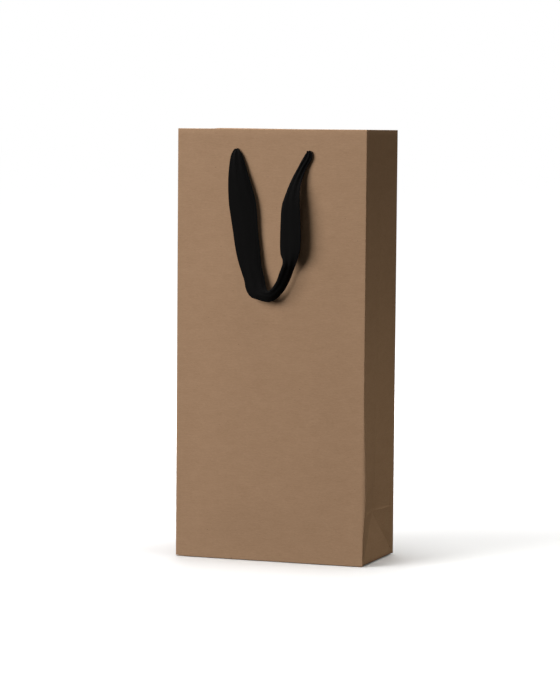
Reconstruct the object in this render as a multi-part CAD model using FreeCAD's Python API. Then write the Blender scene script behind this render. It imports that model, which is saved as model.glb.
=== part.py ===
import FreeCAD, Part

import math
import os

# Two-bottle wine gift bag of kraft paper, standing open. Millimetres.
# Origin: middle of the base, on the floor. +X is to the right as seen from the front,
# the front wall faces -Y, +Z is up. Every sheet of paper is its own solid. The sheets are cut
# where the bag creases, so that it folds flat about those creases.

# Driving dimensions
WIDTH = 180.0
DEPTH = 90.0
HEIGHT = 390.0
PAPER = 0.3
BOARD = 0.6
CARD = 1.0
HEM_HEIGHT = 40.0
BOARD_HEIGHT = 34.0
FOLD_CLEARANCE = 0.4
CREASE_CLEARANCE = 0.3
BUTT_GAP = 0.1
FLAP_OVERLAP = 24.0
SEAM_TAB = 18.0

# Tape handles and the round holes that they go through
HOLE_SPACING = 69.0
HOLE_RADIUS = 3.5
HOLE_DROP = 21.0
TAPE_WIDTH = 22.0
TAPE_THICKNESS = 1.2
TAPE_NECK = 7.0
NECK_LENGTH = 15.0
SWING_OFFSET = 1.3
LOOP_DROP = 134.0
LOOP_RADIUS = 26.0
STEM_RADIUS = 2.8
KNOT_RADIUS = 6.5
KNOT_CENTRE = 4.0
# How far the hanging tape bows away from the wall: (drop below the hole, bow)
TAPE_BOW = ((0.0, 0.0), (20.0, 1.5), (45.0, 7.5), (75.0, 12.0), (105.0, 12.0), (LOOP_DROP, 9.0))

# Worked out from the driving dimensions
HALF_WIDTH = WIDTH / 2
HALF_DEPTH = DEPTH / 2
CREASE_HEIGHT = HALF_DEPTH
BASE_STACK = 3 * PAPER + CARD
WALL_FOOT = BASE_STACK + CREASE_CLEARANCE
WALL_STACK = 2 * PAPER + BOARD
GUSSET_EDGE = HALF_DEPTH - WALL_STACK - FOLD_CLEARANCE
HALF_BUTT = BUTT_GAP / 2
DIAGONAL_BUTT = BUTT_GAP / math.sqrt(2)
BASE_EDGE = HALF_DEPTH - PAPER - CREASE_CLEARANCE
HOLE_X = HOLE_SPACING / 2
HOLE_Z = HEIGHT - HOLE_DROP

SIDES = {"right": 1, "left": -1}
WALLS = {"front": -1, "back": 1}


def save(name, shape):
    """Writes one closed sheet or piece to its own file."""
    if shape.Volume < 0:
        shape.reverse()
    shape.exportStep("parts/" + name + ".step")
    print("%-26s %10.1f mm3  valid %s" % (name, shape.Volume, shape.isValid()))


def slab(x_range, y_range, z_range):
    """A box between two limits on each axis, in either order."""
    low = [min(pair) for pair in (x_range, y_range, z_range)]
    high = [max(pair) for pair in (x_range, y_range, z_range)]
    size = [b - a for a, b in zip(low, high)]
    return Part.makeBox(size[0], size[1], size[2], FreeCAD.Vector(*low))


def prism(points, thickness):
    """A flat outline pushed along the given vector."""
    closed = [FreeCAD.Vector(*p) for p in points]
    face = Part.Face(Part.makePolygon(closed + closed[:1]))
    return face.extrude(FreeCAD.Vector(*thickness))


def gusset_sheet(side, outline, inset=0.0):
    """A sheet in a gusset's plane: its (y, z) outline, one paper thick, inset from the outside."""
    outer = side * (HALF_WIDTH - inset)
    return prism([(outer, y, z) for y, z in outline], (-side * PAPER, 0, 0))


def punched(shape, wall):
    """The same wall layer with the two round holes for the tape."""
    for side in SIDES.values():
        start = FreeCAD.Vector(side * HOLE_X, wall * (HALF_DEPTH - 2 * WALL_STACK), HOLE_Z)
        drill = Part.makeCylinder(HOLE_RADIUS, 4 * WALL_STACK, start, FreeCAD.Vector(0, wall, 0))
        shape = shape.cut(drill)
    return shape


def wall_layers(name, wall, foot):
    """The front or back wall above its foot: paper, stiffening board and the hem turned over it."""
    outer = wall * HALF_DEPTH
    inner = wall * (HALF_DEPTH - PAPER)
    panel = slab((-HALF_WIDTH, HALF_WIDTH), (outer, inner), (foot, HEIGHT))
    save(name + "_panel", punched(panel, wall))

    board_margin = 3.0
    board_face = wall * (HALF_DEPTH - PAPER - BOARD)
    board_top = HEIGHT - PAPER
    board_foot = board_top - BOARD_HEIGHT
    reach = HALF_WIDTH - board_margin
    board = slab((-reach, reach), (inner, board_face), (board_foot, board_top))
    save(name + "_board", punched(board, wall))

    # The hem's section: a lip over the board's top edge, then down its face and back to the wall.
    hem_reach = HALF_WIDTH - 1.0
    hem_foot = HEIGHT - HEM_HEIGHT
    hem_face = board_face - wall * PAPER
    glued_face = inner - wall * PAPER
    step = 1.5
    section = (
        (inner, HEIGHT),
        (hem_face, HEIGHT),
        (hem_face, board_foot),
        (glued_face, board_foot - step),
        (glued_face, hem_foot),
        (inner, hem_foot),
        (inner, board_foot - step / 2),
        (board_face, board_foot),
        (board_face, board_top),
        (inner, board_top),
    )
    hem = prism([(-hem_reach, y, z) for y, z in section], (2 * hem_reach, 0, 0))
    save(name + "_hem", punched(hem, wall))


def gusset_halves(name, side):
    """The pleated side: a front half down to its base diagonal, and a rear half above the crease."""
    front_outline = (
        (-GUSSET_EDGE, HEIGHT),
        (-HALF_BUTT, HEIGHT),
        (-HALF_BUTT, CREASE_HEIGHT - HALF_BUTT + DIAGONAL_BUTT),
        (WALL_FOOT - HALF_DEPTH, WALL_FOOT + DIAGONAL_BUTT),
        (-GUSSET_EDGE, WALL_FOOT + DIAGONAL_BUTT),
    )
    save(name + "_gusset_front", gusset_sheet(side, front_outline))

    rear_outline = (
        (GUSSET_EDGE, HEIGHT),
        (HALF_BUTT, HEIGHT),
        (HALF_BUTT, CREASE_HEIGHT + HALF_BUTT),
        (GUSSET_EDGE, CREASE_HEIGHT + HALF_BUTT),
    )
    save(name + "_gusset_rear", gusset_sheet(side, rear_outline))

    # Hems turned in at the top of both halves, held back from the corners.
    hem_edge = GUSSET_EDGE - 2.0
    for half, sign in (("front", -1), ("rear", 1)):
        hem_outline = [
            (sign * y, z)
            for y, z in (
                (hem_edge, HEIGHT),
                (HALF_BUTT, HEIGHT),
                (HALF_BUTT, HEIGHT - HEM_HEIGHT),
                (hem_edge, HEIGHT - HEM_HEIGHT),
            )
        ]
        hem = gusset_sheet(side, hem_outline, inset=PAPER)
        save(name + "_gusset_" + half + "_hem", hem)


def gusset_triangles(name, side):
    """The two facets under the crease: one hinged on the base, one on the foot of the back wall."""
    foot = WALL_FOOT + DIAGONAL_BUTT
    apex = CREASE_HEIGHT - 2 * DIAGONAL_BUTT
    reach = HALF_DEPTH - foot - DIAGONAL_BUTT
    base_outline = ((-reach, foot), (reach, foot), (0.0, apex))
    save(name + "_base_triangle", gusset_sheet(side, base_outline))

    top = CREASE_HEIGHT - HALF_BUTT
    rear_outline = (
        (GUSSET_EDGE, top),
        (HALF_DEPTH - top + DIAGONAL_BUTT, top),
        (GUSSET_EDGE, HALF_DEPTH - GUSSET_EDGE + DIAGONAL_BUTT),
    )
    save(name + "_rear_triangle", gusset_sheet(side, rear_outline))


def back_foot():
    """The strip of the back wall under the crease, which swings out when the bag is folded flat."""
    top = CREASE_HEIGHT - HALF_BUTT
    inner = HALF_DEPTH - PAPER
    strip = slab((-HALF_WIDTH, HALF_WIDTH), (inner, HALF_DEPTH), (WALL_FOOT, top))
    save("back_panel_foot", strip)


def seam_tabs():
    """The glue tab of the side seam, inside the back wall at its left corner, cut at the crease."""
    inner = HALF_DEPTH - PAPER
    edge = -HALF_WIDTH + PAPER
    tab_x = (edge, edge + SEAM_TAB)
    tab_y = (inner - PAPER, inner)
    above = slab(tab_x, tab_y, (CREASE_HEIGHT + HALF_BUTT, HEIGHT - HEM_HEIGHT - BUTT_GAP))
    save("side_seam_tab", above)
    below = slab(tab_x, tab_y, (WALL_FOOT, CREASE_HEIGHT - HALF_BUTT))
    save("side_seam_tab_foot", below)


def base_layers():
    """The glued base: rear flap outermost, then the front flap, the two side flaps and the card."""
    flap = HALF_DEPTH + FLAP_OVERLAP / 2
    # The long flaps narrow at 45 degrees, because the side flaps fold in first at each corner.
    narrow = HALF_WIDTH - flap
    for name, wall, edge, level in (
        ("rear", 1, HALF_DEPTH, 0.0),
        ("front", -1, BASE_EDGE, PAPER),
    ):
        outline = (
            (-HALF_WIDTH, wall * edge),
            (HALF_WIDTH, wall * edge),
            (narrow, wall * (HALF_DEPTH - flap)),
            (-narrow, wall * (HALF_DEPTH - flap)),
        )
        long_flap = prism([(x, y, level) for x, y in outline], (0, 0, PAPER))
        save("base_" + name + "_flap", long_flap)

    for name, side in SIDES.items():
        reach = (side * HALF_WIDTH, side * (HALF_WIDTH - flap))
        side_flap = slab(reach, (-BASE_EDGE, BASE_EDGE), (2 * PAPER, 3 * PAPER))
        save("base_" + name + "_flap", side_flap)

    card_margin = 2.0
    card_x = HALF_WIDTH - PAPER - card_margin
    card_y = HALF_DEPTH - PAPER - card_margin
    card = slab((-card_x, card_x), (-card_y, card_y), (3 * PAPER, BASE_STACK))
    save("base_card", card)


def tape_outline():
    """The hanging loop seen from the front: a neck at each hole, two straps and a round bottom."""
    centre_z = HOLE_Z - LOOP_DROP + LOOP_RADIUS
    outer_radius = LOOP_RADIUS
    inner_radius = LOOP_RADIUS - TAPE_WIDTH
    shoulder_z = HOLE_Z - NECK_LENGTH
    half_neck = TAPE_NECK / 2
    half_tape = TAPE_WIDTH / 2
    neck_top = HOLE_Z + TAPE_THICKNESS / 2

    def at(x, z):
        return FreeCAD.Vector(x, 0, z)

    shoulder_x = HOLE_X - 1.0
    right_outer = [at(outer_radius, centre_z), at(shoulder_x + half_tape, shoulder_z)]
    right_outer += [at(HOLE_X + half_neck, HOLE_Z), at(HOLE_X + half_neck, neck_top)]
    right_inner = [at(HOLE_X - half_neck, neck_top), at(HOLE_X - half_neck, HOLE_Z)]
    right_inner += [at(shoulder_x - half_tape, shoulder_z), at(inner_radius, centre_z)]

    def mirrored(points):
        return [at(-p.x, p.z) for p in reversed(points)]

    def edges(points):
        return [Part.LineSegment(a, b).toShape() for a, b in zip(points, points[1:])]

    def bottom(radius):
        low = at(0, centre_z - radius)
        return Part.Arc(at(radius, centre_z), low, at(-radius, centre_z)).toShape()

    right = edges(right_outer + right_inner)
    left = edges(mirrored(right_outer + right_inner))
    loop = Part.sortEdges(right + left + [bottom(outer_radius), bottom(inner_radius)])
    return Part.Face(Part.Wire(loop[0]))


def tape_loop(name, wall):
    """One tape handle: the front outline cut out of a sheet that bows away from the wall."""
    axis_y = HALF_DEPTH + SWING_OFFSET
    near = [(axis_y + bow - TAPE_THICKNESS / 2, HOLE_Z - drop) for drop, bow in TAPE_BOW]
    near[0] = (near[0][0], HOLE_Z + TAPE_THICKNESS / 2)
    near[-1] = (near[-1][0], near[-1][1] - TAPE_THICKNESS)
    far = [(y + TAPE_THICKNESS, z) for y, z in reversed(near)]
    bowed = prism([(-HALF_WIDTH, wall * y, z) for y, z in near + far], (WIDTH, 0, 0))

    outline = tape_outline()
    reach = 2 * HALF_DEPTH
    block = outline.extrude(FreeCAD.Vector(0, wall * reach, 0))
    save(name + "_handle", block.common(bowed))


def knots(name, wall):
    """The tape's two stopper knots inside the wall, each with its stem through a hole."""
    face = wall * (HALF_DEPTH - WALL_STACK)
    centre = face - wall * KNOT_CENTRE
    for side_name, side in SIDES.items():
        middle = FreeCAD.Vector(side * HOLE_X, centre, HOLE_Z)
        ball = Part.makeSphere(KNOT_RADIUS, middle)
        span = 2 * KNOT_RADIUS
        room_x = (side * HOLE_X - span, side * HOLE_X + span)
        inside = slab(room_x, (face, face - wall * 2 * span), (HOLE_Z - span, HOLE_Z + span))
        stem_length = HALF_DEPTH - abs(centre)
        stem = Part.makeCylinder(STEM_RADIUS, stem_length, middle, FreeCAD.Vector(0, wall, 0))
        save(name + "_" + side_name + "_knot", ball.common(inside).fuse(stem))


os.makedirs("parts", exist_ok=True)
wall_layers("front", WALLS["front"], 0.0)
wall_layers("back", WALLS["back"], CREASE_HEIGHT + HALF_BUTT)
back_foot()
seam_tabs()
base_layers()
for side_name, side in SIDES.items():
    gusset_halves(side_name, side)
    gusset_triangles(side_name, side)
for wall_name, wall in WALLS.items():
    tape_loop(wall_name, wall)
    knots(wall_name, wall)
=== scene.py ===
import math

import bpy
from mathutils import Matrix, Vector, noise


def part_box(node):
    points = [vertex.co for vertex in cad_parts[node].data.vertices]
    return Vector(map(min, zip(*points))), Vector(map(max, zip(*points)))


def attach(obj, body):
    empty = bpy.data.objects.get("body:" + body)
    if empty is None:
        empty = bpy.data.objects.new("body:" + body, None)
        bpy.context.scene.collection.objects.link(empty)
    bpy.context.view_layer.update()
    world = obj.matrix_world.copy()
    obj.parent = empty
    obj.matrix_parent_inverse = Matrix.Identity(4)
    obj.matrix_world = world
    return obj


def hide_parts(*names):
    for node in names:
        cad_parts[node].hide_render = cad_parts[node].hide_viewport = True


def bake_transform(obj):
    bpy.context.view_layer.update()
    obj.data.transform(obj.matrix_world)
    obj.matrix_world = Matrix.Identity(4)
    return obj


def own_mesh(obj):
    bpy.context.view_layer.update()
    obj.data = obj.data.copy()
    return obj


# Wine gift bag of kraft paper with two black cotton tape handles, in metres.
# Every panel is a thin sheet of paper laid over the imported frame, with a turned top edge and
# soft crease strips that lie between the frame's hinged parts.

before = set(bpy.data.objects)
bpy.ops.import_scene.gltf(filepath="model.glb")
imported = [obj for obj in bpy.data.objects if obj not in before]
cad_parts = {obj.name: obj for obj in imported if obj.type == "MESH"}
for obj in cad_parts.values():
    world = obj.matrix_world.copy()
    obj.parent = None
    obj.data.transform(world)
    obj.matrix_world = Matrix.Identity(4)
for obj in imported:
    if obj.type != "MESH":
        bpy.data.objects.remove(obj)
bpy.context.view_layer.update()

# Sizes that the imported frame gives
panel_low, panel_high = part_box("front_panel")
knot_low, knot_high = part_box("front_right_knot")
HALF_WIDTH = panel_high.x
HALF_DEPTH = -panel_low.y
HEIGHT = panel_high.z
CREASE = HALF_DEPTH
HOLE_X = (knot_low.x + knot_high.x) / 2
HOLE_Z = (knot_low.z + knot_high.z) / 2
HOLE_RADIUS = 0.0035
HOLE_FACETS = 24

# Layers: one sheet, the front or back wall's three at its top, and the pleated side's two
PAPER = 0.0003
WALL_STACK = 0.0012
GUSSET_STACK = 0.0006

# The turned top edge and the board in it
HEM_FOOT = HEIGHT - 0.040
BOARD_FOOT = HEIGHT - 0.034
BOARD_STEP = 0.0015
BACK_LIFT = 0.0006

# Spacing of the points of a sheet, across the wide walls and on the small triangles
GRID = 0.006
FINE_GRID = 0.004
HALF_SIDE_STEPS = 8

# Corners: their width, the radius of a sharp and of a soft one, and how far the soft one is pushed out
STRIP = 0.008
SHARP = 0.0007
SOFT = 0.0016
PUSH = 0.0024
PUSH_TOP = 0.160
PUSH_FADE = 0.100
PUSH_FOOT = 0.012
PUSH_RISE = 0.048
STRIP_GAP = 0.0002
SEAM_COLUMN = 9

# Creases: how far a bend reaches, and the strips that hold the bends
CREASE_STRIP = 0.004
FOOT_TURN = 0.0022
DIAGONAL_FOOT = 0.0026
WALL_FOOT = 0.0011

# The base flaps
FLAP_MARGIN = 0.0006
FLAP_REACH = HALF_DEPTH + 0.012
FLAP_INNER = HALF_WIDTH - FLAP_REACH

# How a pleated side leans in, and how the walls swell
PINCH = 0.0065
PINCH_TOP = 0.0012
PINCH_REACH = 0.080
WRINKLE = 0.0007
RIDGE = 0.0004
RIDGE_WIDTH = 0.0011
SWELL = 0.0009
WAVE = 0.0006

# Cotton tape and its weave
TAPE_WIDTH = 0.025
TAPE_THICKNESS = 0.0011
TAPE_FLUTTER = 0.0005
TAPE_COLUMNS = 16
TAPE_DIVISIONS = 6
SELVEDGE = 0.55
HERRINGBONE = 0.0031
RIB_PITCH = 0.00105
YARN_PITCH = 0.00062

# The knots: size of the turn, its depth inside the wall, and the gathered tape's two half widths
KNOT_SIZE = 0.0015
KNOT_DEPTH = 0.0052
KNOT_SIDES = 20
KNOT_WIDE = 0.0023
KNOT_THIN = 0.0019
TAIL_WIDENS = 0.0022
TAIL_THINS = 0.0006

# Colours
KRAFT_COLOURS = ((0.460, 0.285, 0.169, 1), (0.352, 0.207, 0.113, 1), (0.10, 0.055, 0.030, 1))
TURNINGS_COLOURS = ((0.49, 0.325, 0.205, 1), (0.37, 0.23, 0.135, 1), (0.12, 0.065, 0.035, 1))
TAPE_DARK = (0.0012, 0.0011, 0.0011, 1)
TAPE_LINT = (0.0042, 0.0033, 0.0030, 1)
BOARD_DARK = (0.19, 0.17, 0.145, 1)
BOARD_LIGHT = (0.37, 0.345, 0.305, 1)
FLOOR_COLOUR = (0.90, 0.90, 0.90, 1)
WARM = (1.0, 0.965, 0.86)

# Camera, with its angles in degrees and its lens in millimetres, as a fit to the photo gave them
CAMERA_PLACE = (0.86838, -2.42103, 0.38750)
CAMERA_TURN = 19.8661
CAMERA_DIP = 4.419
CAMERA_ROLL = 0.4878
LENS = 145.188

FLOOR_HALF = 40.0
SHEET_UV = "flat_sheet"
SIDES = {"right": 1, "left": -1}
WALLS = {"front": -1, "back": 1}


def make_camera():
    """A long lens, a little above the bag and to its right, looking slightly down."""
    data = bpy.data.cameras.new("camera")
    data.lens = LENS
    data.sensor_width = 36
    data.clip_end = 200
    camera = bpy.data.objects.new("camera", data)
    bpy.context.scene.collection.objects.link(camera)
    camera.matrix_world = (
        Matrix.Translation(CAMERA_PLACE)
        @ Matrix.Rotation(math.radians(CAMERA_TURN), 4, "Z")
        @ Matrix.Rotation(math.radians(90 - CAMERA_DIP), 4, "X")
        @ Matrix.Rotation(math.radians(CAMERA_ROLL), 4, "Z")
    )
    bpy.context.scene.camera = camera


# ---------------------------------------------------------------- materials


class Shader:
    """Short calls for building one node material."""

    def __init__(self, name):
        self.material = bpy.data.materials.new(name)
        self.material.use_nodes = True
        self.tree = self.material.node_tree
        self.surface = self.tree.nodes["Principled BSDF"]

    def node(self, kind, inputs=None, **settings):
        made = self.tree.nodes.new(kind)
        for key, value in settings.items():
            setattr(made, key, value)
        for key, value in (inputs or {}).items():
            self.feed(made.inputs[key], value)
        return made

    def feed(self, socket, value):
        if isinstance(value, bpy.types.NodeSocket):
            self.tree.links.new(value, socket)
        else:
            socket.default_value = value

    def flat_place(self, scale):
        """The sheet's own flat coordinates, in metres, times a scale for each direction."""
        uv = self.node("ShaderNodeUVMap", uv_map=SHEET_UV)
        return self.scaled(uv.outputs["UV"], scale)

    def solid_place(self, scale):
        """The object's coordinates, in metres, times a scale for each direction."""
        place = self.node("ShaderNodeTexCoord")
        return self.scaled(place.outputs["Object"], scale)

    def scaled(self, vector, scale):
        mapping = self.node("ShaderNodeMapping", {"Vector": vector, "Scale": scale})
        return mapping.outputs["Vector"]

    def noise(self, place, detail=3.0, roughness=0.5, distortion=0.0):
        values = {
            "Vector": place,
            "Scale": 1.0,
            "Detail": detail,
            "Roughness": roughness,
            "Distortion": distortion,
        }
        return self.node("ShaderNodeTexNoise", values).outputs["Fac"]

    def spread(self, value, low, high, to_low=0.0, to_high=1.0):
        values = {"Value": value, "From Min": low, "From Max": high, "To Min": to_low, "To Max": to_high}
        return self.node("ShaderNodeMapRange", values, clamp=True).outputs["Result"]

    def maths(self, operation, a, b=0.0):
        made = self.node("ShaderNodeMath", operation=operation)
        self.feed(made.inputs[0], a)
        self.feed(made.inputs[1], b)
        return made.outputs["Value"]

    def total(self, *shares):
        """The sum of pairs of a value and its weight."""
        parts = [self.maths("MULTIPLY", value, weight) for value, weight in shares]
        result = parts[0]
        for part in parts[1:]:
            result = self.maths("ADD", result, part)
        return result

    def mix(self, factor, a, b):
        made = self.node("ShaderNodeMix", data_type="RGBA")
        self.feed(made.inputs[0], factor)
        self.feed(made.inputs[6], a)
        self.feed(made.inputs[7], b)
        return made.outputs[2]

    def bump(self, height, distance, strength=1.0):
        values = {"Height": height, "Distance": distance, "Strength": strength}
        self.feed(self.surface.inputs["Normal"], self.node("ShaderNodeBump", values).outputs["Normal"])


def kraft_material(name, light, dark, fleck):
    """Unbleached kraft: long brown fibres across the sheet, cloudy mottling and a few dark specks."""
    s = Shader(name)
    fibres = s.noise(s.flat_place((420, 1500, 1)), detail=5.0, roughness=0.70, distortion=0.5)
    hairs = s.noise(s.flat_place((150, 950, 1)), detail=3.0, roughness=0.6, distortion=1.2)
    cloud = s.noise(s.flat_place((60, 110, 1)), detail=5.0, roughness=0.62)
    broad = s.noise(s.flat_place((9, 26, 1)), detail=2.0)
    tone = s.total(
        (s.spread(fibres, 0.36, 0.64), 0.40),
        (s.spread(hairs, 0.36, 0.64), 0.28),
        (s.spread(cloud, 0.30, 0.70), 0.22),
        (s.spread(broad, 0.30, 0.70), 0.10),
    )
    colour = s.mix(tone, dark, light)
    cells = s.node("ShaderNodeTexVoronoi", {"Vector": s.flat_place((170, 170, 1)), "Scale": 1.0})
    draw = s.node("ShaderNodeSeparateColor", {"Color": cells.outputs["Color"]}).outputs["Red"]
    chosen = s.spread(draw, 0.90, 0.94)
    speck = s.maths("MULTIPLY", s.spread(cells.outputs["Distance"], 0.045, 0.09, 1.0, 0.0), chosen)
    colour = s.mix(s.maths("MULTIPLY", speck, 0.55), colour, fleck)
    s.feed(s.surface.inputs["Base Color"], colour)
    s.feed(s.surface.inputs["Roughness"], s.spread(fibres, 0.25, 0.75, 0.66, 0.86))
    s.surface.inputs["Specular IOR Level"].default_value = 0.28
    s.bump(s.maths("ADD", fibres, s.maths("MULTIPLY", cloud, 1.6)), 0.00006, 0.8)
    return s.material


def tape_material():
    """Black cotton herringbone tape: fine diagonal ribs that turn back at intervals, with lint."""
    s = Shader("black_cotton_tape")
    flat = s.node("ShaderNodeUVMap", uv_map=SHEET_UV)
    parts = s.node("ShaderNodeSeparateXYZ", {"Vector": flat.outputs["UV"]})
    across = parts.outputs["X"]
    along = parts.outputs["Y"]
    zigzag = s.maths("PINGPONG", across, HERRINGBONE)
    rib = s.maths("SINE", s.maths("MULTIPLY", s.maths("ADD", zigzag, along), 2 * math.pi / RIB_PITCH))
    yarn = s.maths("SINE", s.maths("MULTIPLY", across, 2 * math.pi / YARN_PITCH))
    lint = s.noise(s.flat_place((2600, 1500, 1)), detail=4.0, roughness=0.7)
    worn = s.noise(s.flat_place((160, 45, 1)), detail=3.0)
    height = s.maths("ADD", s.total((rib, 0.30), (yarn, 0.16), (lint, 0.45)), 0.5)
    lift = s.maths("MULTIPLY", s.spread(height, 0.35, 1.25), s.spread(worn, 0.30, 0.72, 0.45, 1.0))
    s.feed(s.surface.inputs["Base Color"], s.mix(lift, TAPE_DARK, TAPE_LINT))
    s.feed(s.surface.inputs["Roughness"], s.spread(lint, 0.25, 0.75, 0.78, 0.95))
    s.surface.inputs["Specular IOR Level"].default_value = 0.10
    s.surface.inputs["Sheen Weight"].default_value = 0.02
    s.surface.inputs["Sheen Roughness"].default_value = 0.45
    s.bump(height, 0.00016, 0.9)
    return s.material


def board_material():
    """Grey recycled board, with darker and paler pulp fibres."""
    s = Shader("grey_board")
    pulp = s.noise(s.solid_place((900, 900, 900)), detail=5.0, roughness=0.65, distortion=0.6)
    fibre = s.noise(s.solid_place((300, 2400, 2400)), detail=3.0, distortion=0.8)
    tone = s.total((s.spread(pulp, 0.3, 0.7), 0.6), (s.spread(fibre, 0.3, 0.7), 0.4))
    s.feed(s.surface.inputs["Base Color"], s.mix(tone, BOARD_DARK, BOARD_LIGHT))
    s.feed(s.surface.inputs["Roughness"], s.spread(pulp, 0.25, 0.75, 0.78, 0.94))
    s.surface.inputs["Specular IOR Level"].default_value = 0.25
    s.bump(pulp, 0.00010, 0.8)
    return s.material


# ---------------------------------------------------------------- sheets


def ease(t):
    """Rises smoothly from 0 to 1."""
    t = min(max(t, 0.0), 1.0)
    return t * t * (3 - 2 * t)


def steps(start, end, pitch):
    """Evenly spread numbers from start to end, about one pitch apart."""
    count = max(1, round(abs(end - start) / pitch))
    return [start + (end - start) * i / count for i in range(count + 1)]


def sheet_normals(points):
    """One unit normal for each point of a grid of rows."""
    last_row, last_column = len(points) - 1, len(points[0]) - 1
    normals = []
    for i, row in enumerate(points):
        line = []
        for j in range(len(row)):
            up = points[min(i + 1, last_row)][j] - points[max(i - 1, 0)][j]
            across = row[min(j + 1, last_column)] - row[max(j - 1, 0)]
            line.append(across.cross(up).normalized())
        normals.append(line)
    return normals


def make_sheet(name, grid, outward, thickness=PAPER, edge=1.0):
    """A closed thin sheet from rows of (point, flat position). Its printed side faces outward."""
    points = [[Vector(point) for point, flat in row] for row in grid]
    flats = [flat for row in grid for point, flat in row]
    rows, columns = len(points), len(points[0])
    normals = sheet_normals(points)
    turned = normals[rows // 3][columns // 2].dot(Vector(outward)) < 0
    sign = -1 if turned else 1
    front, back = [], []
    for row, line in zip(points, normals):
        for j, (point, normal) in enumerate(zip(row, line)):
            # The cut edges may be thinner than the middle, as a selvedge is.
            thin = edge + (1 - edge) * ease(min(j, columns - 1 - j) / 2.0)
            centre = point - normal * sign * thickness / 2
            front.append(centre + normal * sign * thickness * thin / 2)
            back.append(centre - normal * sign * thickness * thin / 2)
    total = rows * columns
    faces = []

    def add(*corners):
        faces.append(corners[::-1] if turned else corners)

    def at(i, j, side):
        return side * total + i * columns + j

    for i in range(rows - 1):
        for j in range(columns - 1):
            add(at(i, j, 0), at(i, j + 1, 0), at(i + 1, j + 1, 0), at(i + 1, j, 0))
            add(at(i, j, 1), at(i + 1, j, 1), at(i + 1, j + 1, 1), at(i, j + 1, 1))
    for i in range(rows - 1):
        for j, order in ((0, 0), (columns - 1, 1)):
            a, b = (i, i + 1) if order else (i + 1, i)
            add(at(a, j, 0), at(a, j, 1), at(b, j, 1), at(b, j, 0))
    for j in range(columns - 1):
        for i, order in ((0, 0), (rows - 1, 1)):
            a, b = (j + 1, j) if order else (j, j + 1)
            add(at(i, a, 0), at(i, a, 1), at(i, b, 1), at(i, b, 0))
    return make_object(name, front + back, faces, flats + flats)


def make_object(name, vertices, faces, flats):
    """A mesh object with smooth faces, sharp cut edges and flat coordinates in metres."""
    mesh = bpy.data.meshes.new(name)
    mesh.from_pydata(vertices, [], faces)
    mesh.update()
    layer = mesh.uv_layers.new(name=SHEET_UV)
    for loop in mesh.loops:
        layer.data[loop.index].uv = flats[loop.vertex_index]
    mesh.shade_smooth()
    mesh.set_sharp_from_angle(angle=math.radians(50))
    piece = bpy.data.objects.new(name, mesh)
    bpy.context.scene.collection.objects.link(piece)
    return piece


def dress(piece, material, slot, *nodes):
    """Gives a piece its material and hides the CAD nodes that it stands for. The slot argument is not
    used.
    """
    piece.data.materials.clear()
    piece.data.materials.append(material)
    if nodes:
        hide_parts(*nodes)


def riding_sheet(name, grid, outward, body, *nodes):
    """A sheet of kraft paper that moves with one body and stands for the CAD nodes named."""
    piece = make_sheet(name, grid, outward)
    dress(piece, KRAFT, "kraft_paper", *nodes)
    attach(piece, body)
    return piece


def bending_sheet(name, grid, outward):
    """A strip of kraft paper between two hinged bodies. It rides on neither of them."""
    piece = make_sheet(name, grid, outward)
    dress(piece, KRAFT, "kraft_paper")
    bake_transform(piece)


def make_drill(wall, side):
    """A short round bar through a wall where a tape hole goes."""
    ring = []
    for facet in range(HOLE_FACETS):
        turn = facet * 2 * math.pi / HOLE_FACETS
        ring.append((side * HOLE_X + HOLE_RADIUS * math.cos(turn), HOLE_Z + HOLE_RADIUS * math.sin(turn)))
    ends = (wall * (HALF_DEPTH - 0.006), wall * (HALF_DEPTH + 0.004))
    vertices = [(x, y, z) for y in ends for x, z in ring]
    faces = []
    for i in range(HOLE_FACETS):
        k = (i + 1) % HOLE_FACETS
        faces.append((i, k, HOLE_FACETS + k, HOLE_FACETS + i))
    faces.append(tuple(range(HOLE_FACETS - 1, -1, -1)))
    faces.append(tuple(range(HOLE_FACETS, 2 * HOLE_FACETS)))
    if wall < 0:
        faces = [face[::-1] for face in faces]
    return make_object("drill", vertices, faces, [(0, 0)] * len(vertices))


def punch(piece, wall):
    """Cuts the two round tape holes through a wall sheet."""
    for side in SIDES.values():
        drill = make_drill(wall, side)
        cut = piece.modifiers.new("hole", "BOOLEAN")
        cut.operation = "DIFFERENCE"
        cut.solver = "EXACT"
        cut.object = drill
        bpy.context.view_layer.update()
        seen = piece.evaluated_get(bpy.context.evaluated_depsgraph_get())
        mesh = bpy.data.meshes.new_from_object(seen)
        piece.modifiers.clear()
        piece.data = mesh
        bpy.data.objects.remove(drill)


# ---------------------------------------------------------------- the bag's form


def gusset_inset(y, z):
    """How far a pleated side leans in: most at its middle, where the three base creases meet."""
    deep = PINCH_TOP + (PINCH - PINCH_TOP) * math.exp(-max(z - CREASE, 0) / PINCH_REACH)
    across = max(1 - abs(y) / HALF_DEPTH, 0)
    inset = deep * min(across, max(z, 0) / CREASE)
    wrinkle = noise.noise(Vector((y * 24, z * 11, 4.0))) * WRINKLE
    calm = ease(across / 0.3) * ease(z / 0.03) * ease((HEIGHT - z) / 0.06)
    ridge = RIDGE * math.exp(-(((z - CREASE) / RIDGE_WIDTH) ** 2)) * ease(across / 0.2)
    return inset + wrinkle * calm - ridge


def swell(x, z, wall):
    """How far a front or back panel stands out between its stiffer edges."""
    across = ease((HALF_WIDTH - STRIP - abs(x)) / 0.045)
    up = ease((z - 0.008) / 0.05) * ease((BOARD_FOOT - z) / 0.09)
    rear = 1.0 if wall < 0 else ease((z - CREASE) / 0.03)
    gentle = noise.noise(Vector((x * 8, z * 5.5, wall * 3.7)))
    return across * up * rear * (SWELL + WAVE * gentle)


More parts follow.
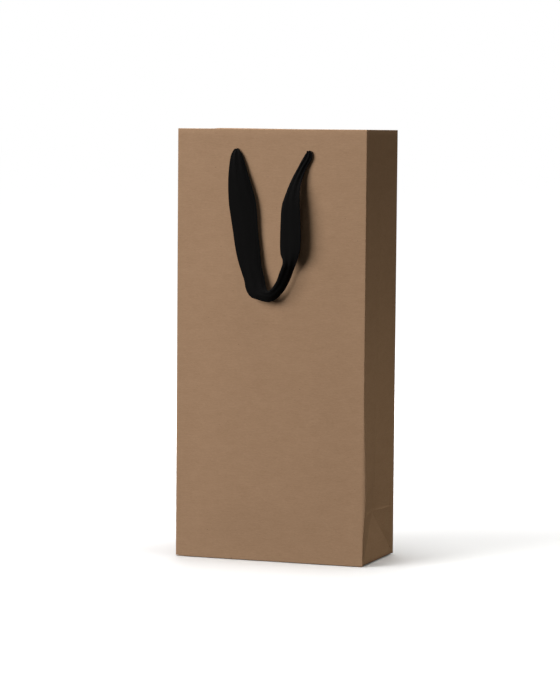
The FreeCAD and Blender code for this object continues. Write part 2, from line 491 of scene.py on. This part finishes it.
def corner_push(z, side, wall):
    """How much the front right corner is pushed outward, from 0 to 1, most above the side's crease."""
    if wall > 0 or side < 0:
        return 0.0
    return ease((PUSH_TOP - z) / PUSH_FADE) * ease((z - PUSH_FOOT) / PUSH_RISE)


def corner_radius(z, side, wall):
    """Corners are creased sharp, and rounder where they are pushed outward."""
    return SHARP + (SOFT - SHARP) * corner_push(z, side, wall)


def turned_profile(stack, foot):
    """A wall's section, up, over the top and down inside, as (depth from outside, height, way along)."""
    turn = stack / 2
    line = [(0.0, z) for z in steps(foot, HEIGHT - turn, GRID)]
    for a in range(1, 8):
        angle = a * math.pi / 8
        line.append((turn - turn * math.cos(angle), HEIGHT - turn + turn * math.sin(angle)))
    line += [(stack, z) for z in steps(HEIGHT - turn, BOARD_FOOT, GRID)]
    line += [(GUSSET_STACK, BOARD_FOOT - BOARD_STEP), (GUSSET_STACK, HEM_FOOT)]
    return with_way(line)


def with_way(line):
    """Adds to each (depth, height) its distance along the sheet, counted up from the floor."""
    way = line[0][1]
    walked = [(line[0][0], line[0][1], way)]
    for before, after in zip(line, line[1:]):
        way += math.dist(before, after)
        walked.append((after[0], after[1], way))
    return walked


def foot_turn(level):
    """The bottom edge's section: most of a small quarter turn from the base up to the wall."""
    turns = [a * math.pi / 12 for a in range(6)]
    return [(FOOT_TURN * (1 - math.sin(turn)), level + FOOT_TURN * (1 - math.cos(turn))) for turn in turns]


def wall_point(x, depth, z, wall):
    """A point of a wide wall. Only its outer layer swells."""
    out = HALF_DEPTH - depth
    if depth < WALL_STACK / 3:
        out += swell(x, z, wall)
    lift = 0.0
    if wall > 0 and z > HEM_FOOT:
        # The back wall's top edge stands a touch higher at its seam.
        lift = BACK_LIFT * ease((0.02 - x) / 0.10) * ease((z - HEM_FOOT + 0.05) / 0.06)
    return Vector((x, wall * out, z + lift))


def wall_grid(wall, profile):
    """Rows of (point, flat position) across a wide wall between its two corner strips."""
    across = steps(STRIP - HALF_WIDTH, HALF_WIDTH - STRIP, GRID)
    return [[(wall_point(x, depth, z, wall), (x, way)) for x in across] for depth, z, way in profile]


def wall_sheet(name, wall, body, foot, *nodes):
    """One wide wall with its edge turned in over the board, and its two holes."""
    piece = make_sheet(name, wall_grid(wall, turned_profile(WALL_STACK, foot)), (0, wall, 0))
    punch(piece, wall)
    dress(piece, KRAFT, "kraft_paper", *nodes)
    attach(piece, body)


def corner_plan(radius, reach):
    """A corner in plan, as (along the wall, along the gusset)."""
    plan = [(STRIP + (radius - STRIP) * t / 4, 0.0) for t in range(4)]
    for a in range(9):
        turn = a * math.pi / 16
        plan.append((radius * (1 - math.sin(turn)), radius * (1 - math.cos(turn))))
    end = max(reach, radius + 0.0005)
    plan += [(0.0, radius + (end - radius) * t / 4) for t in range(1, 5)]
    return plan


def corner_grid(side, wall, profile, first=0, last=None):
    """A vertical corner between a wall and a gusset, as rows of (point, flat position)."""
    grid = []
    for depth, z, way in profile:
        reach = min(STRIP, max(z, DIAGONAL_FOOT)) if z < CREASE else STRIP
        plan = corner_plan(corner_radius(z, side, wall), reach)[first:last]
        grid.append([corner_cell(side, wall, depth, z, way, along, out) for along, out in plan])
    return grid


def corner_cell(side, wall, depth, z, way, along, out):
    """One point of a corner, moved in by its layer's depth, with its flat position."""
    radius = corner_radius(z, side, wall)
    if out < radius:
        bulge = max(0.0, 1 - along / radius)
    else:
        bulge = max(0.0, (STRIP - out) / (STRIP - radius))
    push = PUSH * corner_push(z, side, wall) * bulge
    # Beside the wall the turned edge lies on the board, and round the corner on the paper alone.
    on_board = ease((along - 0.0025) / 0.002)
    thick = min(depth, GUSSET_STACK) + max(depth - GUSSET_STACK, 0) * on_board
    if thick > 0 and along < radius and out < radius:
        reach = math.hypot(radius - along, radius - out)
        scale = max(radius - thick, 0.0003) / max(reach, 1e-6)
        along = radius - (radius - along) * scale
        out = radius - (radius - out) * scale
    elif out <= radius:
        out += thick
    else:
        along += thick
    x = side * (HALF_WIDTH - along + push)
    y = wall * (HALF_DEPTH - out)
    if out > radius * 0.5:
        x -= side * gusset_inset(y, z)
    lift = 0.0
    if wall > 0 and side < 0 and z > HEM_FOOT:
        lift = BACK_LIFT * ease((z - HEM_FOOT + 0.05) / 0.06) * ease((along + 0.002) / 0.008)
    return (Vector((x, y, z + lift)), (x - wall * side * out, way))


def gusset_point(side, y, depth, z):
    """A point of a pleated side."""
    return Vector((side * (HALF_WIDTH - depth - gusset_inset(y, z)), y, z))


def half_row(side, wall, depth, z, way):
    """A row from a corner strip in to the pleat, or below the crease to the diagonal."""
    outer = HALF_DEPTH - STRIP
    inner = max(CREASE - z, 0.0)
    row = []
    for t in range(HALF_SIDE_STEPS + 1):
        y = wall * (outer + (inner - outer) * t / HALF_SIDE_STEPS)
        flat_across = side * HALF_WIDTH - wall * side * (HALF_DEPTH - abs(y))
        row.append((gusset_point(side, y, depth, z), (flat_across, way)))
    return row


def whole_row(side, depth, z, way, half_steps):
    """A row between the two diagonals, across the whole of a pleated side."""
    half = HALF_DEPTH - max(z, DIAGONAL_FOOT)
    row = []
    for t in range(2 * half_steps + 1):
        y = half * (t / half_steps - 1)
        row.append((gusset_point(side, y, depth, z), (side * (HALF_WIDTH + y), way)))
    return row


def flatten(piece):
    """Gives a pleated side's sheet its own copy of its mesh."""
    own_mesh(piece)


def gusset_upper(name, side, wall, body, *nodes):
    """Half of a pleated side, with its turned top edge. The front half runs down to the base diagonal."""
    levels = steps(STRIP + STRIP_GAP, CREASE, FINE_GRID)[:-1] if wall < 0 else []
    # Rows lie close together over the ridge of the crease.
    levels += [CREASE, CREASE + 0.0006, CREASE + 0.0012, CREASE + 0.0022]
    upper = turned_profile(GUSSET_STACK, CREASE + 0.0045)
    profile = with_way([(0.0, z) for z in levels] + [(depth, z) for depth, z, way in upper])
    grid = [half_row(side, wall, depth, z, way) for depth, z, way in profile]
    flatten(riding_sheet(name, grid, (side, 0, 0), body, *nodes))


def rear_facet(name, side, body, node):
    """The triangle of the pleated side between its rear diagonal and the back wall."""
    grid = [half_row(side, 1, 0.0, z, z) for z in steps(STRIP + STRIP_GAP, CREASE, FINE_GRID)]
    flatten(riding_sheet(name, grid, (side, 0, 0), body, node))


def base_facet(name, side, body, node):
    """The triangle that stands on the base crease and leans in towards its tip."""
    levels = [STRIP / 2] + steps(STRIP, CREASE - PAPER, 0.0045)
    grid = [whole_row(side, 0.0, z, z, HALF_SIDE_STEPS) for z in levels]
    flatten(riding_sheet(name, grid, (side, 0, 0), body, node))


def side_foot(name, side):
    """The crease along the foot of a pleated side, from the glued side flap up to the triangle."""
    level = 2 * PAPER
    section = [(STRIP / 2, level)] + foot_turn(level) + [(0.0, STRIP / 2)]
    grid = [whole_row(side, depth, z, way, HALF_SIDE_STEPS + 1) for depth, z, way in with_way(section)]
    bending_sheet(name, grid, (side, 0, -0.6))


def flap(name, near, far, level, node):
    """A glued flap of the base, between a near edge and a far edge, each given by its two ends."""
    grid = []
    for t in range(9):
        low = Vector(near[0]).lerp(Vector(far[0]), t / 8)
        high = Vector(near[1]).lerp(Vector(far[1]), t / 8)
        row = []
        for s in range(25):
            x, y = low.lerp(high, s / 24)
            dimple = abs(noise.noise(Vector((x * 22, y * 22, level * 4000)))) * 0.00008
            row.append(((x, y, level + dimple), (x, y)))
        grid.append(row)
    riding_sheet(name, grid, (0, 0, -1), "base", node)


def build_base():
    """Four flaps: both side flaps, then the front flap, and the rear flap outermost."""
    wide = HALF_WIDTH - FOOT_TURN
    back = HALF_DEPTH - FOOT_TURN
    past_middle = HALF_DEPTH - FLAP_REACH
    near = ((-wide, back), (wide, back))
    far = ((-FLAP_INNER, past_middle), (FLAP_INNER, past_middle))
    flap("rear_base_flap", near, far, 0.0, "base_rear_flap")

    wide = HALF_WIDTH - FLAP_MARGIN
    half = HALF_DEPTH - FLAP_MARGIN
    near = ((-wide, -half), (wide, -half))
    far = ((-FLAP_INNER, -past_middle), (FLAP_INNER, -past_middle))
    flap("front_base_flap", near, far, PAPER, "base_front_flap")

    for name, side in SIDES.items():
        outer, inner = side * (HALF_WIDTH - STRIP / 2), side * FLAP_INNER
        near = ((outer, -half), (inner, -half))
        far = ((outer, half), (inner, half))
        flap(name + "_base_flap", near, far, 2 * PAPER, "base_" + name + "_flap")


def seam_tab(name, node, body):
    """The glued seam allowance inside the back wall."""
    low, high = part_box(node)
    grid = []
    for z in steps(low.z, high.z, 0.008):
        row = []
        for x in steps(low.x, high.x, 0.003):
            ripple = noise.noise(Vector((x * 60, z * 30, 9.0))) * 0.00004 + swell(x, z, 1)
            row.append(((x, low.y + ripple, z), (x, z)))
        grid.append(row)
    piece = make_sheet(name, grid, (0, -1, 0))
    dress(piece, TURNINGS, "kraft_turnings", node)
    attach(piece, body)


def build_back_wall():
    """The back wall, cut at the crease that it folds about, and the paper strips there, which ride on no
    body.
    """
    wall_sheet("back_wall_paper", 1, "back_wall", CREASE + CREASE_STRIP, "back_panel", "back_hem")

    levels = with_way([(0.0, z) for z in steps(STRIP / 2, CREASE - CREASE_STRIP, GRID)])
    outward = (0, 1, 0.2)
    riding_sheet("back_foot_paper", wall_grid(1, levels), outward, "back_wall_foot", "back_panel_foot")

    levels = with_way([(0.0, z) for z in steps(CREASE - CREASE_STRIP, CREASE + CREASE_STRIP, 0.0005)])
    bending_sheet("back_crease", wall_grid(1, levels), outward)

    levels = with_way(foot_turn(0.0) + [(0.0, STRIP / 2)])
    bending_sheet("back_bottom_edge", wall_grid(1, levels), outward)


def build_front_edge():
    """The small turn of the front wall's bottom edge over the front flap."""
    turn = with_way([(0.0006, PAPER), (0.0002, PAPER + 0.00015), (0.0, PAPER + 0.0004), (0.0, WALL_FOOT)])
    riding_sheet("front_bottom_edge", wall_grid(-1, turn), (0, -1, 0.2), "front_wall")


def build_side(name, side):
    """A pleated side, its two corners and its foot."""
    gusset = name + "_gusset_"
    facet = name + "_rear_facet"
    front_half, rear_half = gusset + "front_half", gusset + "rear_half"
    gusset_upper(gusset + "front_paper", side, -1, front_half, gusset + "front", gusset + "front_hem")
    gusset_upper(gusset + "rear_paper", side, 1, rear_half, gusset + "rear", gusset + "rear_hem")
    rear_facet(facet + "_paper", side, facet, name + "_rear_triangle")
    base_facet(name + "_base_facet_paper", side, name + "_base_facet", name + "_base_triangle")
    side_foot(name + "_bottom_edge", side)

    grid = corner_grid(side, -1, turned_profile(WALL_STACK, WALL_FOOT))
    bending_sheet(name + "_front_corner", grid, (side, -1, 0))

    upper = turned_profile(WALL_STACK, CREASE)
    outward = (side, 1, 0)
    corner = name + "_back_corner"
    if side > 0:
        bending_sheet(corner, corner_grid(side, 1, upper), outward)
    else:
        # The fold's linkage is open at the glued seam, so each half of this corner rides on its own side.
        on_wall = corner_grid(side, 1, upper, last=SEAM_COLUMN + 1)
        on_side = corner_grid(side, 1, upper, first=SEAM_COLUMN)
        riding_sheet(corner + "_wall", on_wall, outward, "back_wall")
        riding_sheet(corner + "_side", on_side, outward, rear_half)

    lower = with_way([(0.0, z) for z in steps(WALL_FOOT, CREASE, FINE_GRID)])
    grid = corner_grid(side, 1, lower)
    bending_sheet(name + "_back_foot_corner", grid, outward)


def build_paper():
    """All the paper of the bag."""
    wall_sheet("front_wall_paper", -1, "front_wall", WALL_FOOT, "front_panel", "front_hem")
    build_back_wall()
    build_front_edge()
    for name, side in SIDES.items():
        build_side(name, side)
    build_base()
    seam_tab("seam_tab", "side_seam_tab", "back_wall")
    seam_tab("seam_tab_foot", "side_seam_tab_foot", "back_wall_foot")


# ---------------------------------------------------------------- tape handles

# The hanging tape as seen from in front, in millimetres: its outer edge as (across from the middle,
# drop below the hole, distance from the wall), its inner edge in the same way, how far its face is
# cupped, and how deeply it is gathered. It starts in the left hole and ends in the right one.
# A scratch script printed these values, from outline points read off the photo.
TAPE_STATIONS = (
    ((-35.3, -2.2, -1.4), (-32.2, -2.3, -1.4), 0.2, 0.8),
    ((-34.9, -2.6, 1.3), (-30.4, -2.8, 1.3), 0.5, 0.9),
    ((-37.8, 3.5, 2.4), (-26.2, 3.4, 2.8), 1.3, 1.0),
    ((-39.6, 17.5, 2.8), (-21.4, 17.3, 3.6), 1.7, 0.6),
    ((-40.1, 30.1, 3.0), (-16.9, 30.1, 4.0), 1.5, 0.3),
    ((-39.5, 43.0, 3.1), (-13.3, 42.5, 4.3), 1.2, 0.2),
    ((-37.9, 54.6, 3.2), (-11.6, 54.1, 4.5), 1.0, 0.1),
    ((-35.2, 69.7, 3.4), (-10.6, 69.1, 4.6), 0.9, 0.0),
    ((-32.0, 88.2, 3.8), (-8.3, 87.6, 4.8), 1.0, 0.1),
    ((-28.5, 100.7, 4.4), (-6.5, 100.6, 5.2), 1.3, 0.3),
    ((-23.2, 114.3, 5.4), (-3.1, 113.2, 6.2), 1.5, 0.6),
    ((-20.8, 122.9, 6.4), (-1.4, 119.0, 7.4), 1.6, 0.8),
    ((-15.7, 129.4, 7.4), (-0.1, 122.1, 9.0), 1.5, 0.8),
    ((-7.8, 131.9, 8.0), (2.1, 123.0, 10.5), 1.3, 0.7),
    ((0.8, 133.4, 8.0), (4.9, 121.6, 12.0), 1.2, 0.6),
    ((8.3, 130.8, 7.6), (7.9, 118.3, 13.0), 1.1, 0.6),
    ((15.7, 123.2, 7.0), (11.3, 113.5, 14.0), 1.0, 0.6),
    ((20.8, 114.1, 6.6), (14.2, 106.1, 14.4), 0.8, 0.7),
    ((24.0, 106.0, 6.8), (16.2, 100.4, 13.8), 0.5, 0.8),
    ((28.0, 97.8, 9.4), (15.3, 95.3, 11.0), 0.5, 0.6),
    ((31.2, 90.0, 11.6), (12.7, 90.7, 9.0), 0.7, 0.4),
    ((32.7, 79.8, 12.2), (11.6, 81.3, 8.0), 0.9, 0.2),
    ((32.5, 64.7, 12.0), (12.0, 63.4, 8.0), 0.9, 0.2),
    ((31.2, 46.1, 11.0), (12.9, 48.3, 8.0), 1.0, 0.3),
    ((30.4, 32.9, 8.6), (16.2, 36.6, 7.6), 1.0, 0.6),
    ((31.4, 23.1, 5.4), (20.3, 25.0, 5.6), 0.8, 0.8),
    ((34.6, 13.3, 2.9), (25.8, 13.4, 3.1), 0.6, 0.9),
    ((39.4, 4.4, 2.0), (31.1, 3.6, 2.2), 0.5, 0.9),
    ((38.4, -1.4, 1.3), (33.9, -1.2, 1.3), 0.5, 0.9),
    ((37.1, -1.0, -1.4), (33.7, -0.8, -1.4), 0.2, 0.8),
)


def smooth_between(values, index, t):
    """A Catmull-Rom value between two neighbours in a list of numbers."""
    last = len(values) - 1
    a, b, c, d = (values[min(max(index + k, 0), last)] for k in (-1, 0, 1, 2))
    return b + 0.5 * t * (c - a + t * (2 * a - 5 * b + 4 * c - d + t * (3 * (b - c) + d - a)))


def tape_rings():
    """The stations, smoothed, as (outer edge, inner edge, cup, gather) in metres."""
    rows = [[*outer, *inner, cup, gather] for outer, inner, cup, gather in TAPE_STATIONS]
    lines = list(zip(*rows))
    segments = len(rows) - 1
    rings = []
    for part in range(segments * TAPE_DIVISIONS + 1):
        index = min(part // TAPE_DIVISIONS, segments - 1)
        t = part / TAPE_DIVISIONS - index
        values = [smooth_between(line, index, t) / 1000 for line in lines]
        rings.append((Vector(values[0:3]), Vector(values[3:6]), max(values[6], 0.0), max(values[7], 0.0)))
    return rings


def hanging_place(point, wall):
    """From (across, drop, distance from the wall) to a place in the frame."""
    across, drop, out = point
    return Vector((-wall * across, wall * (HALF_DEPTH + out), HOLE_Z - drop))


def tape_row(ring, along, way, wall):
    """One row across the tape, with its cup, its gathers and a slight flutter."""
    outer, inner, cup, gather = ring
    width = inner - outer
    facing = width.cross(along).normalized()
    if facing.z < 0:
        facing = -facing
    row = []
    for j in range(TAPE_COLUMNS + 1):
        t = j / TAPE_COLUMNS
        lift = cup * 4 * t * (1 - t) + gather * math.cos(5 * math.pi * t) * 0.5
        flutter = noise.noise(Vector((t * 2.2, way * 32, wall * 5.0))) * TAPE_FLUTTER * ease(way / 0.03)
        point = outer + width * t + facing * (lift + flutter)
        row.append((hanging_place(point, wall), ((t - 0.5) * TAPE_WIDTH, way)))
    return row


def build_handle(name, wall, node):
    """A loop of woven tape that hangs from its two holes, gathered where it goes through them."""
    rings = tape_rings()
    middles = [(ring[0] + ring[1]) / 2 for ring in rings]
    last = len(rings) - 1
    grid = []
    way = 0.0
    for i, ring in enumerate(rings):
        if i:
            way += (middles[i] - middles[i - 1]).length
        along = middles[min(i + 1, last)] - middles[max(i - 1, 0)]
        grid.append(tape_row(ring, along, way, wall))
    piece = make_sheet(name, grid, (0, wall, 0), TAPE_THICKNESS, SELVEDGE)
    dress(piece, TAPE, "black_cotton_tape", node)
    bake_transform(piece)


def knot_path(x, wall, turn):
    """A single overhand knot inside the wall: in through the hole, one turn, and a short tail."""
    inner = HALF_DEPTH - WALL_STACK
    centre = Vector((x, wall * (inner - KNOT_DEPTH), HOLE_Z - 0.0004))
    path = [
        Vector((x, wall * (HALF_DEPTH - 0.0006), HOLE_Z)),
        Vector((x, wall * (inner - 0.0004), HOLE_Z)),
        Vector((x + 0.0004 * turn, wall * (inner - 0.0030), HOLE_Z - 0.0006)),
    ]
    # A trefoil, opened where the tape comes in.
    for step in range(3, 30):
        t = step * 2 * math.pi / 32
        across = turn * (math.sin(t) + 2 * math.sin(2 * t))
        up = math.cos(t) - 2 * math.cos(2 * t)
        out = wall * math.sin(3 * t) * 1.05
        path.append(centre + Vector((across, out, up)) * KNOT_SIZE)
    tail = path[-1]
    path.append(tail + Vector((-0.0010 * turn, -wall * 0.0012, -0.0014)))
    path.append(tail + Vector((-0.0014 * turn, -wall * 0.0016, -0.0044)))
    path.append(tail + Vector((-0.0010 * turn, -wall * 0.0016, -0.0078)))
    return path


def tube_faces(rings, sides):
    """The faces of a closed tube whose points come ring by ring."""
    faces = []
    for i in range(rings - 1):
        for j in range(sides):
            k = (j + 1) % sides
            faces.append((i * sides + j, i * sides + k, (i + 1) * sides + k, (i + 1) * sides + j))
    faces.append(tuple(range(sides - 1, -1, -1)))
    faces.append(tuple(range((rings - 1) * sides, rings * sides)))
    return faces


def build_knot(name, node, x, wall, body):
    """The knotted tape end that keeps a handle in its hole."""
    path = knot_path(x, wall, 1 if x > 0 else -1)
    vertices, flats = [], []
    side_way = Vector((0.0, 0.0, 1.0))
    way = 0.0
    for i, point in enumerate(path):
        along = (path[min(i + 1, len(path) - 1)] - path[max(i - 1, 0)]).normalized()
        side_way = (side_way - along * side_way.dot(along)).normalized()
        other = along.cross(side_way)
        if i:
            way += (point - path[i - 1]).length
        # The tail opens out again to the tape's gathered width.
        open_out = ease((i - len(path) + 4) / 3)
        wide = side_way * (KNOT_WIDE + TAIL_WIDENS * open_out)
        thin = other * (KNOT_THIN - TAIL_THINS * open_out)
        for j in range(KNOT_SIDES):
            a = j * 2 * math.pi / KNOT_SIDES
            crimp = 1 + 0.10 * math.cos(5 * a + i * 0.35)
            vertices.append(point + (wide * math.cos(a) + thin * math.sin(a)) * crimp)
            flats.append((TAPE_WIDTH * j / KNOT_SIDES, way))
    piece = make_object(name, vertices, tube_faces(len(path), KNOT_SIDES), flats)
    dress(piece, TAPE, "black_cotton_tape", node)
    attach(piece, body)
    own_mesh(piece)


def build_handles():
    """Both handles, each with its two knots."""
    for name, wall in WALLS.items():
        body = name + "_wall"
        build_handle(name + "_handle_tape", wall, name + "_handle")
        for side_name, side in SIDES.items():
            node = name + "_" + side_name + "_knot"
            build_knot(node + "_tape", node, side * HOLE_X, wall, body)


# ---------------------------------------------------------------- studio


def studio_light(name, azimuth, elevation, distance, size, power, tint=(1, 1, 1)):
    """A round softbox aimed at the bag's middle. Azimuth 0 is in front of it, and 90 to its right."""
    data = bpy.data.lights.new(name, "AREA")
    data.shape = "DISK"
    data.size = size
    data.energy = power
    data.color = tint
    light = bpy.data.objects.new(name, data)
    bpy.context.scene.collection.objects.link(light)
    turn, rise = math.radians(azimuth), math.radians(elevation)
    level = math.cos(rise)
    towards = Vector((math.sin(turn) * level, -math.cos(turn) * level, math.sin(rise)))
    light.location = Vector((0, 0, HEIGHT / 2)) + towards * distance
    light.visible_camera = False
    light.rotation_euler = (-towards).to_track_quat("-Z", "Y").to_euler()


def painted_glow_floor_material():
    """Pale studio floor with a painted glow: its emission rises from almost none beside the bag to full
    white 1.4 m away.
    """
    s = Shader("studio_floor")
    s.surface.inputs["Base Color"].default_value = FLOOR_COLOUR
    s.surface.inputs["Roughness"].default_value = 0.95
    s.surface.inputs["Specular IOR Level"].default_value = 0.05
    s.surface.inputs["Emission Color"].default_value = (1, 1, 1, 1)
    place = s.node("ShaderNodeTexCoord").outputs["Object"]
    away = s.node("ShaderNodeVectorMath", {0: place}, operation="LENGTH").outputs["Value"]
    # Painted glow, not a lamp: the floor glows whiter away from the bag and is left darker beside it.
    s.feed(s.surface.inputs["Emission Strength"], s.spread(away, 0.1, 1.4, 0.03, 1.0))
    return s.material


def build_floor():
    """A wide pale floor that the bag stands on. It lights nothing itself."""
    mesh = bpy.data.meshes.new("studio_floor")
    corners = [(x * FLOOR_HALF, y * FLOOR_HALF, 0) for x, y in ((-1, -1), (1, -1), (1, 1), (-1, 1))]
    mesh.from_pydata(corners, [], [(0, 1, 2, 3)])
    mesh.materials.append(painted_glow_floor_material())
    floor = bpy.data.objects.new("studio_floor", mesh)
    bpy.context.scene.collection.objects.link(floor)
    floor.visible_diffuse = False
    floor.visible_glossy = False


def build_world():
    """A white surround that shows behind the bag but doesn't light it."""
    world = bpy.data.worlds.new("studio")
    bpy.context.scene.world = world
    world.use_nodes = True
    background = world.node_tree.nodes["Background"]
    background.inputs["Color"].default_value = (1, 1, 1, 1)
    background.inputs["Strength"].default_value = 1.0
    world.cycles_visibility.diffuse = False
    world.cycles_visibility.glossy = False


def build_studio():
    """A large soft key light from the front left, with weak fill from the other sides and from above."""
    build_floor()
    build_world()
    studio_light("key", azimuth=-42, elevation=21, distance=3.4, size=2.6, power=129)
    studio_light("front_fill", azimuth=15, elevation=10, distance=3.0, size=2.0, power=2.2)
    studio_light("side_fill", azimuth=88, elevation=48, distance=2.2, size=1.0, power=5.9, tint=WARM)
    studio_light("floor_bounce", azimuth=90, elevation=-20, distance=0.40, size=0.2, power=0.22, tint=WARM)
    studio_light("back_fill", azimuth=200, elevation=35, distance=2.2, size=1.2, power=15)
    studio_light("overhead", azimuth=0, elevation=90, distance=2.2, size=0.8, power=34)
    bpy.context.scene.view_settings.view_transform = "Standard"


def dress_boards():
    """The two boards and the base card keep their CAD shapes, in grey board."""
    material = board_material()
    for name in ("front_board", "back_board", "base_card"):
        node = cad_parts[name]
        node.data.materials.clear()
        node.data.materials.append(material)


make_camera()
KRAFT = kraft_material("kraft_paper", *KRAFT_COLOURS)
TURNINGS = kraft_material("kraft_turnings", *TURNINGS_COLOURS)
TAPE = tape_material()
build_paper()
build_handles()
dress_boards()
build_studio()
